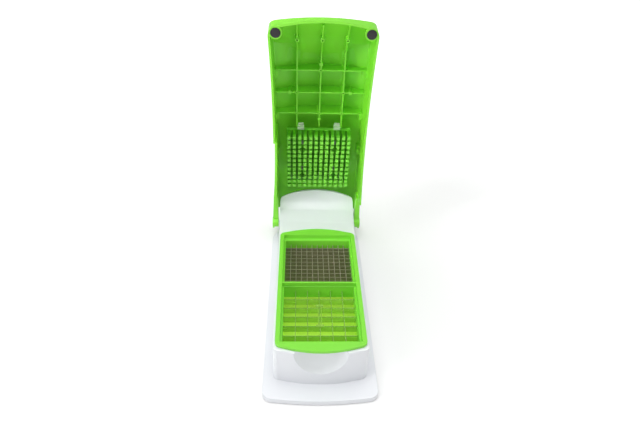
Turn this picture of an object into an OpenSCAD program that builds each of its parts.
// Hand vegetable dicer: white base with a finger scoop and a low foot plate,
// a catch tray, a two-cell blade insert and a vaulted press lid on two pins.
// +Z up, -Y towards the user, origin on the table under the middle of the whole object
// as it stands with its lid open. Inside the modules Y = 0 is the middle of the insert.

/* [Base] */
// Width of the foot plate
foot_width = 108.4; // [107:0.2:114]
// Height of the foot plate's top face
foot_top = 6; // [5:0.5:8]
// Half width of the upper housing walls
wall_half_width = 44.5; // [43.6:0.1:44.8]
// Front wall position at its centre
front_y = -91; // [-93:0.5:-90.5]
// Height of the deck around the insert
deck_z = 48; // [47.5:0.1:48.2]
// Wall thickness of the housing
base_wall = 2.4; // [2:0.1:2.8]
// Radius of the finger scoop at the front wall
scoop_r = 27; // [22:0.5:27]
// Depth of the finger scoop
scoop_depth = 8; // [5:0.5:9]

/* [Insert] */
// Spacing of the fine blades
fine_pitch = 6; // [6:6]
// Spacing of the coarse blades
coarse_pitch = 12; // [12:12]
// Blade thickness
blade_t = 0.5; // [0.4:0.05:0.6]
// Blade height
blade_h = 8; // [6:0.5:8]
// Height of the blades' cutting edges above the table
blade_z = 40; // [39.5:0.1:40]

/* [Lid] */
// Distance from the hinge axis to the centre of the pusher
press_reach = 87.6; // [87.6:87.6]
// Opening angle of the lid as drawn
open_deg = 84.5; // [60:0.5:90]
// Wall thickness of the lid
lid_wall = 2.2; // [1.8:0.1:2.4]
// Width of one pusher pin
pin_width = 3.5; // [3:0.1:4]
// Height of the lid's vault above the hinge axis, 20 mm in front of it
vault_height = 45; // [44.5:0.5:50]
// Downward slope of the vault towards its free end
vault_deg = 4.2; // [3.8:0.1:4.4]

/* [Hinge] */
// Hinge pin radius
hinge_pin_r = 2.5; // [2:0.1:3]
// Knuckle radius
knuckle_r = 6; // [5.5:0.1:6.5]

/* [Hidden] */
$fn = 64;

// shift that brings the middle of the whole object to Y = 0
origin_y = -32.42;
hinge_y = 125;
hinge_z = 34;
// one square blade cell, and the distance of both cells' centres from Y = 0
cell = 72;
cell_y = hinge_y - press_reach;

white = [0.94, 0.95, 0.96];
green = [0.36, 0.74, 0.16];
lime = [0.52, 0.78, 0.2];
steel = [0.72, 0.73, 0.74];
black = [0.12, 0.11, 0.13];
clip_colour = [0.85, 0.88, 0.85];

// ---------------------------------------------------------------- helpers
// Points of an arc about [x, y], from one angle to another.
function arc(x, y, r, from, to, steps) =
    [for (i = [0:steps]) let (t = from + (to - from) * i / steps) [x + r * cos(t), y + r * sin(t)]];
// Inner points of a parabolic edge from x = reach to x = -reach, bulging by rise.
function bow(reach, y, rise, half_steps = 6) =
    [for (i = [1:2 * half_steps - 1]) let (x = reach * (1 - i / half_steps))
        [x, y + rise * (1 - pow(x / reach, 2))]];
// Outline of a plate with bowed front and rear edges; front and rear are Y at the corners.
function bowed(half_w, front, front_bow, front_r, rear, rear_bow, rear_r,
               front_sweep = 80, rear_steps = 8) = concat(
    arc(half_w - front_r, front + front_r, front_r, 0, -front_sweep, 8),
    bow(half_w - front_r, front, -front_bow),
    arc(front_r - half_w, front + front_r, front_r, front_sweep - 180, -180, 8),
    arc(rear_r - half_w, rear - rear_r, rear_r, 180, 100, rear_steps),
    bow(rear_r - half_w, rear, rear_bow),
    arc(half_w - rear_r, rear - rear_r, rear_r, 80, 0, rear_steps));
// Height on a circular arch of radius r, below its crown.
function arch_drop(r, x) = sqrt(r * r - x * x) - r;
function reverse(list) = [for (i = [len(list) - 1:-1:0]) list[i]];

module place() { translate([0, origin_y, 0]) children(); }
// Box centred on x, with its front face at y and its underside at z.
module block(size, y, z, x = 0) { translate([x - size.x / 2, y, z]) cube(size); }
// Cylinder along X, centred.
module rod(r, length) { rotate([0, 90, 0]) cylinder(r = r, h = length, center = true); }
// Extrudes a Y-Z section along X, centred.
module extrude_x(width) {
    rotate([90, 0, 90]) translate([0, 0, -width / 2]) linear_extrude(width) children();
}
// Extrudes an X-Z section from rear towards -Y.
module extrude_y(rear, length) {
    rotate([90, 0, 0]) translate([0, 0, -rear]) linear_extrude(length) children();
}

// ---------------------------------------------------------------- base
foot_lift = 0.6;
wall_front_bow = 5.2;
wall_rear_y = 141;
wall_rear_bow = 3;
// hump behind the deck: its top, the radius of its arch, and the hollow curve up to its lip
hump_z = 72.7;
hump_arch_r = 104;
hump_curve_y = 114;
hump_curve_z = 73.5;
hump_curve_r = 24;
// reach of construction shapes beyond the housing
body_half_x = 60;
body_front = -120;
body_rear = 160;
// rubber feet
pad_x = 43;
pad_front_y = -86;
pad_rear_y = 130;
pad_height = 2;
// finger scoop section: fraction of its radius, fraction of its depth
bowl = [[1, 0], [0.96, 0.2], [0.88, 0.45], [0.74, 0.7], [0.52, 0.9], [0.26, 1]];

module foot_outline(inset = 0) {
    polygon(bowed(foot_width / 2 - inset, -106.4 + inset, 3.2, 9 - inset,
        146 - inset, 4, 20 - inset, front_sweep = 82, rear_steps = 10));
}
module wall_outline(inset) {
    polygon(bowed(wall_half_width - inset, front_y + wall_front_bow + inset, wall_front_bow,
        6 - inset, wall_rear_y - wall_rear_bow - inset, wall_rear_bow, 6 - inset));
}
// Side profile of the upper housing: flat deck, gentle rise, hollow curve up to the hump's lip.
module deck_profile(inset, low) {
    polygon(concat(
        [[body_front, low], [body_rear, low], [body_rear, hump_z - inset],
         [hump_curve_y + hump_curve_r + inset, hump_z - inset]],
        arc(hump_curve_y, hump_curve_z, hump_curve_r + inset, -3, -65, 10),
        [[106 + inset / 2, deck_z - inset], [body_front, deck_z - inset]]));
}
// Section of the upper housing across X, arched at the height of the hump.
module hump_section(inset, low) {
    top = hump_z - inset;
    polygon(concat([[body_half_x, low], [body_half_x, top - 22]],
        [for (i = [0:24]) let (x = body_half_x - 5 * i) [x, top + arch_drop(hump_arch_r, x)]],
        [[-body_half_x, low]]));
}
module upper_body(inset, low) {
    intersection() {
        translate([0, 0, low]) linear_extrude(90) wall_outline(inset);
        extrude_x(2 * body_half_x) deck_profile(inset, low - 1);
        extrude_y(rear = 170, length = 300) hump_section(inset, low - 1);
    }
}
module at_pads() {
    for (x = [-pad_x, pad_x], y = [pad_front_y, pad_rear_y]) translate([x, y]) children();
}
module at_base_hinge(x) {
    for (side = [-1, 1]) translate([side * x, hinge_y, hinge_z]) children();
}
// Cone about the scoop's axis, running inwards from y.
module scoop_cone(y, outer_r, inner_r, depth) {
    translate([0, y, deck_z]) rotate([-90, 0, 0]) cylinder(r1 = outer_r, r2 = inner_r, h = depth);
}
module finger_scoop() {
    for (i = [0:len(bowl) - 2])
        scoop_cone(front_y - 0.01 + bowl[i][1] * scoop_depth,
            bowl[i][0] * scoop_r, bowl[i + 1][0] * scoop_r,
            (bowl[i + 1][1] - bowl[i][1]) * scoop_depth);
}
// Hollow of the housing, less the parts that stay solid inside it.
module housing_hollow() {
    difference() {
        upper_body(base_wall, 1);
        // floor under the catch tray
        block([2 * body_half_x, 300, foot_top], y = body_front, z = 0);
        // backing behind the finger scoop
        scoop_cone(front_y - 1, scoop_r + 4, scoop_r - 3, scoop_depth + base_wall + 1);
        // cross wall between the tray bay and the hinge bay
        block([2 * body_half_x, 2.2, 70], y = 86, z = 0);
        // hinge bosses
        at_base_hinge(38) rod(6.5, 9);
    }
}
module base_housing() {
    color(white) difference() {
        union() {
            translate([0, 0, foot_lift]) linear_extrude(foot_top - foot_lift) foot_outline();
            upper_body(0, 2);
        }
        // hollow underside of the foot plate, with solid rounds at the feet
        translate([0, 0, -1]) linear_extrude(foot_top - base_wall + 1) difference() {
            foot_outline(base_wall);
            at_pads() circle(r = 8);
        }
        housing_hollow();
        // opening that the insert drops into
        translate([0, 0, 20]) linear_extrude(60) intersection() {
            square([81.2, 161], center = true);
            wall_outline(base_wall);
        }
        finger_scoop();
        // open underside of the hinge bay
        block([82, 46, 10], y = 89, z = -1);
        // hinge pin holes
        at_base_hinge(40) rod(hinge_pin_r + 0.02, 14);
        // foot sockets
        at_pads() translate([0, 0, -1]) cylinder(r = 6, h = pad_height + 1);
    }
}
module foot_pad(x, y) {
    color(black) translate([x, y, 0]) cylinder(r = 5.9, h = pad_height);
}

tray_wall = 1.8;
tray_top = 30;
module tray_outline(inset, corner_r) {
    polygon(bowed(40.2 - inset, -78 + inset, 0.01, corner_r, 83 - inset, 0.01, corner_r));
}
module catch_tray() {
    color(lime) difference() {
        translate([0, 0, foot_top]) linear_extrude(tray_top - foot_top) tray_outline(0, 5);
        translate([0, 0, foot_top + tray_wall]) linear_extrude(30) tray_outline(tray_wall, 4);
    }
}

// ---------------------------------------------------------------- blade insert
rim_bottom = deck_z + 0.3;
rim_top = 51;
rim_half_length = 82.8;
rim_bow = 6.5;
frame_body = [80.2, 159, deck_z - 30];
upper_opening = [76.2, 76.5, 20];
ledge_z = 46;
tab_half_width = 19;
tab_drop = 3.4;
// depth of the blade ends in the cell walls, and clearance in the blades' crossing slots
blade_seat = 1;
slot_gap = 0.05;

// Blades on each side of a cell's middle one.
function side_blades(pitch) = cell / pitch / 2 - 1;

module lift_tab() {
    translate([0, -85.4, deck_z + 0.6]) extrude_y(rear = 0, length = 1.2)
        polygon([for (i = [-9:9]) let (x = i * tab_half_width / 9)
            [x, -tab_drop * (1 - pow(x / tab_half_width, 2))]]);
}
module blade_seats(pitch, centre_y) {
    length = cell + 2 * blade_seat;
    bottom = blade_z - blade_h;
    count = side_blades(pitch);
    for (i = [-count:count]) {
        block([blade_t, length, blade_h], x = i * pitch, y = centre_y - length / 2, z = bottom);
        block([length, blade_t, blade_h], y = centre_y + i * pitch - blade_t / 2, z = bottom);
    }
}
module insert_frame() {
    color(green) difference() {
        union() {
            translate([0, 0, rim_bottom]) linear_extrude(rim_top - rim_bottom)
                polygon(bowed(42.4, -rim_half_length, rim_bow, 6, rim_half_length, rim_bow, 6));
            block(frame_body, y = -frame_body.y / 2, z = 31);
            // crescent tab under the front edge, inside the finger scoop
            lift_tab();
        }
        for (side = [-1, 1]) {
            // upper opening down to the ledge
            block(upper_opening, y = side > 0 ? 1 : -1 - upper_opening.y, z = ledge_z);
            // cell opening
            block([cell, cell, 80], y = side * cell_y - cell / 2, z = 0);
        }
        blade_seats(fine_pitch, cell_y);
        blade_seats(coarse_pitch, -cell_y);
    }
}
// One flat blade along X, its edge at Z = 0, with half-height slots for the crossing blades.
module blade(pitch, slots_up) {
    count = side_blades(pitch);
    extrude_y(rear = blade_t / 2, length = blade_t) difference() {
        translate([-cell / 2 - blade_seat, -blade_h]) square([cell + 2 * blade_seat, blade_h]);
        for (i = [-count:count])
            translate([i * pitch - blade_t / 2 - slot_gap,
                       slots_up ? -blade_h / 2 - slot_gap : -blade_h - 1])
                square([blade_t + 2 * slot_gap, blade_h / 2 + 1 + slot_gap]);
    }
}
module blades_cross(pitch, centre_y) {
    count = side_blades(pitch);
    color(steel) for (i = [-count:count])
        translate([0, centre_y + i * pitch, blade_z]) blade(pitch, slots_up = true);
}
module blades_lengthwise(pitch, centre_y) {
    count = side_blades(pitch);
    color(steel) for (i = [-count:count])
        translate([i * pitch, centre_y, blade_z]) rotate([0, 0, 90])
            blade(pitch, slots_up = false);
}
module fine_blades_cross() { blades_cross(fine_pitch, cell_y); }
module fine_blades_lengthwise() { blades_lengthwise(fine_pitch, cell_y); }
module coarse_blades_cross() { blades_cross(coarse_pitch, -cell_y); }
module coarse_blades_lengthwise() { blades_lengthwise(coarse_pitch, -cell_y); }
// Small tie of two rails and two end bars on the coarse blades, in the middle of their cell
module blade_tie() {
    color(lime) translate([0, -cell_y + 0.6, blade_z + 0.02]) {
        for (x = [-1.5, 1.5]) block([0.8, 26, 1.3], x = x, y = -13, z = 0);
        for (y = [-14.6, 12]) block([7.6, 2.6, 1.6], y = y, z = 0);
    }
}

// ---------------------------------------------------------------- lid
// Lid parts are drawn closed around the hinge axis (free end towards -Y) and then swung open.
// A reach is a distance from the hinge axis towards the free end, so Y = -reach.
lid_rim_z = -15;
lid_end = 253.5;
lid_corner_r = 10;
lid_end_bow = 5.2;
// height of the vault's crown and the reach it is taken at
vault_top = vault_height + 1.5;
vault_reach = 20;
vault_arch_r = 127.8;
shoulder_r = 9;
// the roof curves down from nose_reach to the free end
nose_reach = 176;
nose_length = 80;
nose_drop = 42;
arm_reach = 41;
// ribs under the vault
rib_t = 1.4;
rib_z = 18.2;
rib_x = 24.4;
rib_rows = [143.6, 168.5, 193.9];
// ring bosses: x, reach, height of the lower end
rings = [
    [-rib_x, 231.6, 4.6], [0, 231.6, 4.6], [rib_x, 231.6, 4.6],
    [0, rib_rows[2], 17.8],
    [-rib_x, rib_rows[1], 17.8], [rib_x, rib_rows[1], 17.8],
    [-rib_x, rib_rows[0], 17.8], [0, rib_rows[0], 17.8], [rib_x, rib_rows[0], 17.8]];
// ejector marks: x, reach
ejector_marks = [[0, 200.5], [-32, 168.5], [32, 168.5], [0, 136.5]];
bumper_x = 44;
bumper_reach = 246.8;
// pusher posts and screws, on a square around the pusher's centre
post_offset = 18;
screw_seat_z = 20.6;
// reaches of the points along the lid's side walls
side_reaches = [for (i = [0:16]) -10 + i * 15.8];
relief_reaches = [126, 121, 111, 101, 91, 81, 71, 61, 51, arm_reach];
thick_reaches = [127.3, 121, 101, 81, 61, 41.6];
arm_reaches = [-2.7, 12, 26, 40];

// Half width of the lid at a reach.
function lid_half(reach) = 48.9 + (reach < 150 ? 0.0002 : 0.00027) * pow(reach - 150, 2);
// Points inside the lid's right (side = 1) or left (side = -1) edge.
function lid_edge(side, inset, reaches) =
    [for (reach = reaches) [side * (lid_half(reach) - inset), -reach]];
// Roof line of the lid, as height above the hinge axis.
function roof(reach) =
    vault_top - 0.045 * (reach - vault_reach) - 0.00017 * pow(max(0, reach - vault_reach), 2);
// Arched section with its crown at 0 and rounded shoulders down to the sides.
function arch_section(half_w) =
    let (flank = half_w - shoulder_r, shoulder_z = arch_drop(vault_arch_r, flank) - 8.2)
    concat([[half_w, -80]],
        arc(flank, shoulder_z, shoulder_r, 0, 66, 7),
        [for (i = [1:15]) let (x = flank * (1 - i / 8)) [x, arch_drop(vault_arch_r, x)]],
        arc(-flank, shoulder_z, shoulder_r, 114, 180, 7),
        [[-half_w, -80]]);

module swung() { translate([0, hinge_y, hinge_z]) rotate([-open_deg, 0, 0]) children(); }
module at_press() { translate([0, -press_reach, 0]) children(); }
module at_posts(z = 0) {
    at_press() for (x = [-post_offset, post_offset], y = [-post_offset, post_offset])
        translate([x, y, z]) children();
}
module at_bumpers(z) {
    for (x = [-bumper_x, bumper_x]) translate([x, -bumper_reach, z]) children();
}
// Outline of the lid from above: slightly waisted sides, bowed free end, rounded corners.
module lid_plan(inset) {
    corner_x = lid_half(243) - lid_corner_r;
    corner_y = lid_corner_r - lid_end;
    polygon(concat(
        lid_edge(1, inset, side_reaches),
        arc(corner_x, corner_y, lid_corner_r - inset, 0, -80, 8),
        bow(corner_x, inset - lid_end, -lid_end_bow, half_steps = 5),
        arc(-corner_x, corner_y, lid_corner_r - inset, -100, -180, 8),
        lid_edge(-1, inset, reverse(side_reaches))));
}
module side_profile(inset, low) {
    nose_top = roof(nose_reach) + 3 - inset;
    polygon(concat(
        [[30, low], [30, 80], [-150, 80], [-150, roof(150) + 4 - inset]],
        [for (i = [0:12]) let (t = i / 12)
            [-nose_reach - nose_length * t + inset * 0.55 * t, nose_top - nose_drop * t * t]],
        [[-262, nose_top - nose_drop - 7], [-262, low]]));
}
// Solid inside the lid's outer faces moved in by inset; tail extends it behind the hinge end.
module vault(inset, low, tail = false) {
    hinge_half = lid_half(-10) - inset;
    intersection() {
        translate([0, 0, low]) linear_extrude(80) union() {
            lid_plan(inset);
            if (tail) translate([-hinge_half, 9]) square([2 * hinge_half, 6]);
        }
        translate([0, -vault_reach, vault_top - inset]) rotate([vault_deg, 0, 0])
            extrude_y(rear = 60, length = 340) polygon(arch_section(54.5 - inset));
        extrude_x(120) side_profile(inset, low);
    }
}
module lid_walls() {
    low = lid_rim_z - 5;
    difference() {
        vault(0, lid_rim_z);
        vault(lid_wall, low, tail = true);
        // the rim steps back near the hinge
        block([120, 60, -low], y = -arm_reach, z = low);
        // shallow relief outside the left wall
        translate([0, 0, low]) linear_extrude(22 - low)
            polygon(concat([[-70, -relief_reaches[0]]], lid_edge(-1, 2.3, relief_reaches),
                [[-70, -arm_reach]]));
    }
}
// The lower edge runs level above the insert, then dips towards the free end.
module rib_long(x) {
    start = 126;
    end = 252;
    translate([x, 0, 0]) extrude_x(rib_t)
        polygon([[-start, rib_z], [-214, rib_z], [-end, -8], [-end, 40], [-start, 44]]);
}
module rib_cross(reach) {
    block([102, rib_t, 40], y = -reach - rib_t / 2, z = rib_z);
}
// Ribs, bosses and posts, drawn too tall; the vault trims them.
module lid_inner_parts() {
    for (x = [-rib_x, 0, rib_x]) rib_long(x);
    for (reach = rib_rows) rib_cross(reach);
    for (ring = rings) translate([ring.x, -ring.y, ring.z]) cylinder(r = 2, h = 30, $fn = 24);
    for (mark = ejector_marks)
        translate([mark.x, -mark.y, 17.9]) cylinder(r = 2, h = 30, $fn = 24);
    // posts that carry the pusher, and rails between them and the vault
    at_posts(22.9) cylinder(r = 4.5, h = 40, $fn = 32);
    at_press() for (x = [-post_offset, post_offset])
        block([1.8, 2 * post_offset, 40], x = x, y = -post_offset, z = 25.4);
    // thickening inside the left wall behind its outer relief
    translate([0, 0, lid_rim_z]) linear_extrude(38.6)
        polygon(concat(lid_edge(-1, 1.5, thick_reaches),
            lid_edge(-1, 3.9, reverse(thick_reaches))));
    // corner pads for the rubber bumpers
    at_bumpers(lid_rim_z) cylinder(r = 6.2, h = 40, $fn = 40);
    // gussets on the side walls
    for (side = [-1, 1], reach = [90, 136, 186])
        block([4, 8, 12.4], x = side * (lid_half(reach) - lid_wall - 1.4), y = -reach - 8, z = 17.8);
}
module knuckles_and_arms() {
    for (side = [-1, 1]) translate([side * 49.9, 0, 0]) rotate([37, 0, 0]) rod(knuckle_r, 7.2);
    // arms from the knuckles into the side walls
    for (flip = [0, 1]) mirror([flip, 0, 0]) translate([0, 0, -1.5]) linear_extrude(12)
        polygon(concat(lid_edge(1, 0.9, arm_reaches), [[46.5, -40], [46.5, 2.7]]));
}
module lid_shell() {
    color(green) swung() difference() {
        union() {
            lid_walls();
            intersection() {
                union() lid_inner_parts();
                vault(1, lid_rim_z, tail = true);
            }
            knuckles_and_arms();
        }
        // hinge pin holes
        for (side = [-1, 1]) translate([side * 49, 0, 0]) rod(hinge_pin_r + 0.05, 20);
        // bumper sockets
        at_bumpers(lid_rim_z - 1) cylinder(r = 4.7, h = 2.8, $fn = 40);
        // screw holes in the pusher posts
        at_posts(20) cylinder(r = 1.45, h = 10, $fn = 24);
        // ring boss hollows
        for (ring = rings)
            translate([ring.x, -ring.y, ring.z - 4]) cylinder(r = 0.9, h = 6.4, $fn = 16);
    }
}
module pusher_plate() {
    last_pin = side_blades(fine_pitch) + 0.5;
    color(green) swung() difference() {
        at_press() {
            block([71, 70, 5.2], y = -35, z = 17.6);
            for (i = [-last_pin:last_pin], j = [-last_pin:last_pin])
                block([pin_width, pin_width, 14],
                    x = i * fine_pitch, y = j * fine_pitch - pin_width / 2, z = 3.7);
        }
        // counterbores and screw holes
        at_posts() {
            cylinder(r = 3.3, h = screw_seat_z, $fn = 32);
            cylinder(r = 1.7, h = 30, $fn = 32);
        }
    }
}
// Screws with a cross recess in the head
module pusher_screws() {
    head_h = 2.2;
    color(steel) swung() at_posts() difference() {
        union() {
            translate([0, 0, screw_seat_z - head_h]) cylinder(r = 2.9, h = head_h, $fn = 32);
            translate([0, 0, screw_seat_z]) cylinder(r = 1.4, h = 7.9, $fn = 24);
        }
        for (turn = [0, 90]) rotate([0, 0, turn]) block([3.6, 0.7, 1.4], y = -0.35, z = 18);
    }
}
// Snap tongue that grips the pusher's edge on the free-end side
module pusher_clip(x) {
    color(clip_colour) swung() at_press() {
        block([7.2, 3.1, 6.1], x = x, y = -38.2, z = 17.9);
        block([6, 4, 1.6], x = x, y = -41.2, z = 22);
    }
}
module lid_bumper(x) {
    color(black) swung() translate([x, -bumper_reach, lid_rim_z - 0.9])
        cylinder(r = 4.6, h = 2.7, $fn = 40);
}
module hinge_pin(side) {
    color(white) translate([side * 44.8, hinge_y, hinge_z]) rod(hinge_pin_r, 16);
}

place() base_housing();
place() catch_tray();
place() insert_frame();
place() fine_blades_cross();
place() fine_blades_lengthwise();
place() coarse_blades_cross();
place() coarse_blades_lengthwise();
place() blade_tie();
place() hinge_pin(-1);  // hinge_pin_left
place() hinge_pin(1);  // hinge_pin_right
place() lid_shell();
place() pusher_plate();
place() pusher_screws();
place() pusher_clip(-20);  // pusher_clip_left
place() pusher_clip(20);  // pusher_clip_right
place() lid_bumper(-bumper_x);  // lid_bumper_left
place() lid_bumper(bumper_x);  // lid_bumper_right
place() foot_pad(-pad_x, pad_front_y);  // front_left_foot
place() foot_pad(pad_x, pad_front_y);  // front_right_foot
place() foot_pad(-pad_x, pad_rear_y);  // rear_left_foot
place() foot_pad(pad_x, pad_rear_y);  // rear_right_foot
